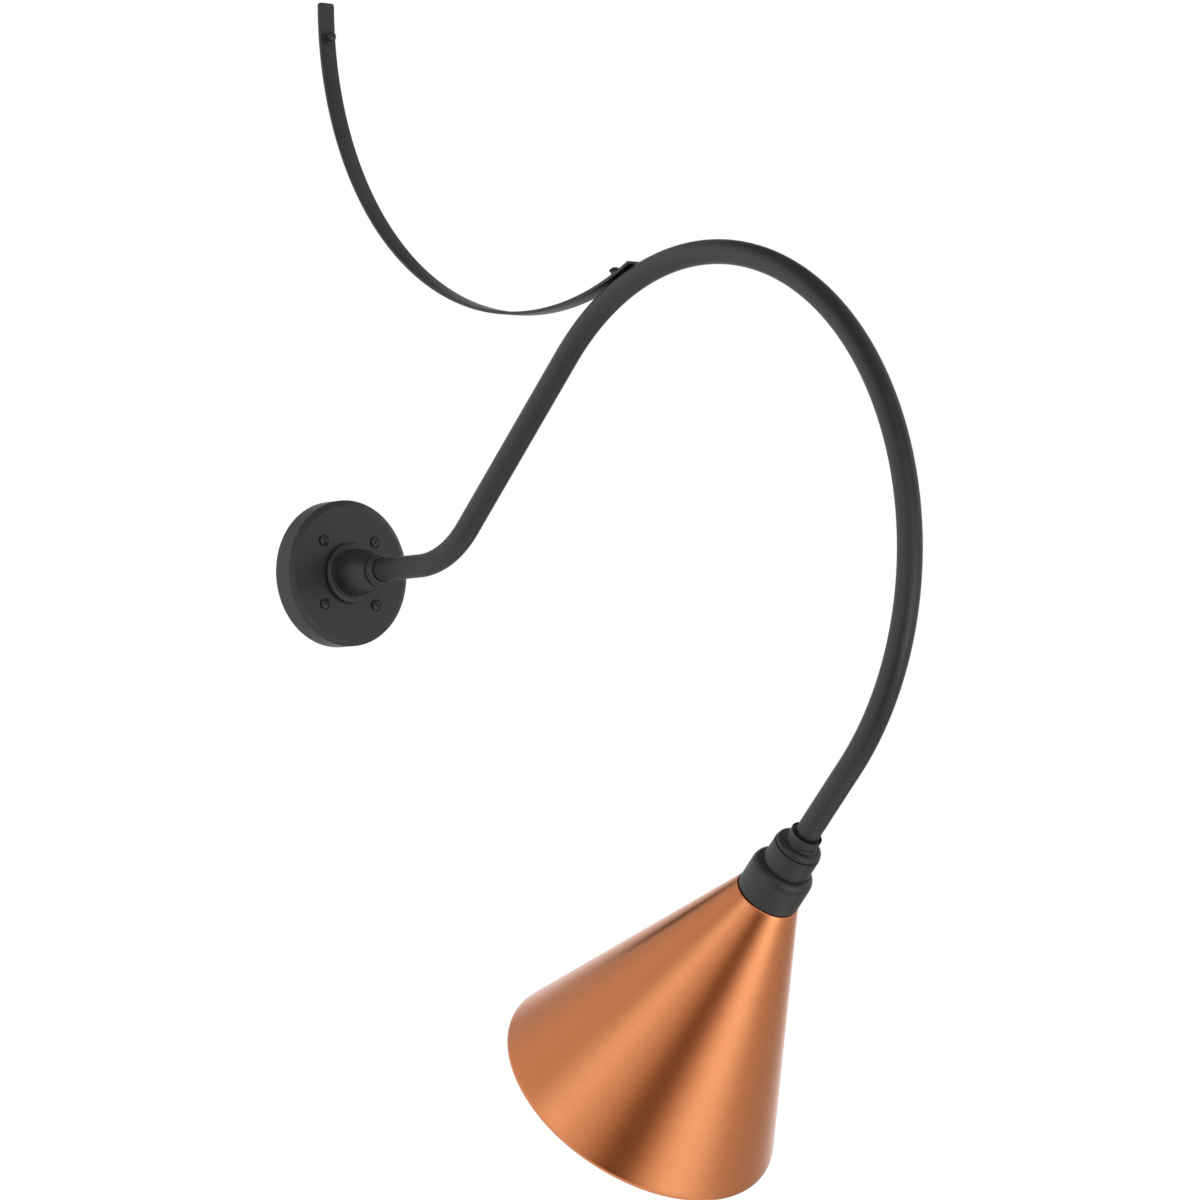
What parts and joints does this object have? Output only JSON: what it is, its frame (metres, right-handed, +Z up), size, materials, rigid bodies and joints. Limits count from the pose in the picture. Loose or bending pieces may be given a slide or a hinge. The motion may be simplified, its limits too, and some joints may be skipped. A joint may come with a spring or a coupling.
{
  "type": "gooseneck barn light",
  "caption": "Wall light with a round wall plate, a gooseneck tube held by a curved flat-bar stay, and a spun cone shade over a screw-in lamp.",
  "frame": {"origin": "centre of the wall plate's back face, where the four wall screws' pattern is centred, in the wall plane Y = 0", "axes": "+Y into the wall and -Y out into the room, +Z up, +X to the right as seen from the room; the arm lies in the plane X = 0"},
  "size_m": [0.2806, 0.8996, 1.2089],
  "materials": {
    "powder_coat": "satin, fine texture",
    "spun_copper": "satin copper lacquer with fine brushing round the axis",
    "zinc_steel": "zinc plated",
    "shell_brass": "bright",
    "glazed_porcelain": "white glaze",
    "foam_rubber": "matte",
    "black_insulator": "glossy black glass",
    "nylon": "matte black",
    "opal_glass": "frosted white"
  },
  "bodies": {
    "fixture": {"wall_plate": "powder_coat", "wall_gasket": "foam_rubber", "plate_screws": "powder_coat", "hub": "powder_coat", "arm_collar": "powder_coat", "hub_set_screw": "powder_coat", "arm_tube": "powder_coat", "arm_locknut": "zinc_steel", "arm_lock_washer": "zinc_steel", "arm_bushing": "nylon", "stay_bar": "powder_coat", "stay_insert": "zinc_steel", "stay_bolt": "powder_coat", "stay_bolt_washer": "powder_coat", "stay_wall_screw": "powder_coat", "stay_wall_washer": "powder_coat", "neck_ring": "powder_coat", "neck_cap": "powder_coat", "socket_housing": "powder_coat", "neck_locknut": "zinc_steel", "shade_fitter": "powder_coat", "shade_gasket": "foam_rubber", "shade": "spun_copper", "shade_screws": "zinc_steel", "holder_bridge": "zinc_steel", "holder_body": "glazed_porcelain", "holder_screws": "zinc_steel", "holder_shell": "shell_brass", "holder_contact": "shell_brass"},
    "lamp_carrier": {"lamp_insulator": "black_insulator", "lamp_contact": "zinc_steel"},
    "lamp": {"lamp_glass": "opal_glass", "lamp_cap": "shell_brass"}
  },
  "joints": [
    {"name": "lamp_travel", "type": "slide", "parent": "fixture", "child": "lamp_carrier", "axis": [0, 0.7193, -0.6947], "range_m": [0, 0.01814]},
    {"name": "lamp_turn", "type": "hinge", "parent": "lamp_carrier", "child": "lamp", "pos_m": [0, -0.77611, -0.22222], "axis": [0, 0.7193, -0.6947], "range_deg": [0, 1800]}
  ],
  "couplings": [
    {"joint": "lamp_turn", "follows": "lamp_travel", "rad_per_m": 1731.4}
  ]
}
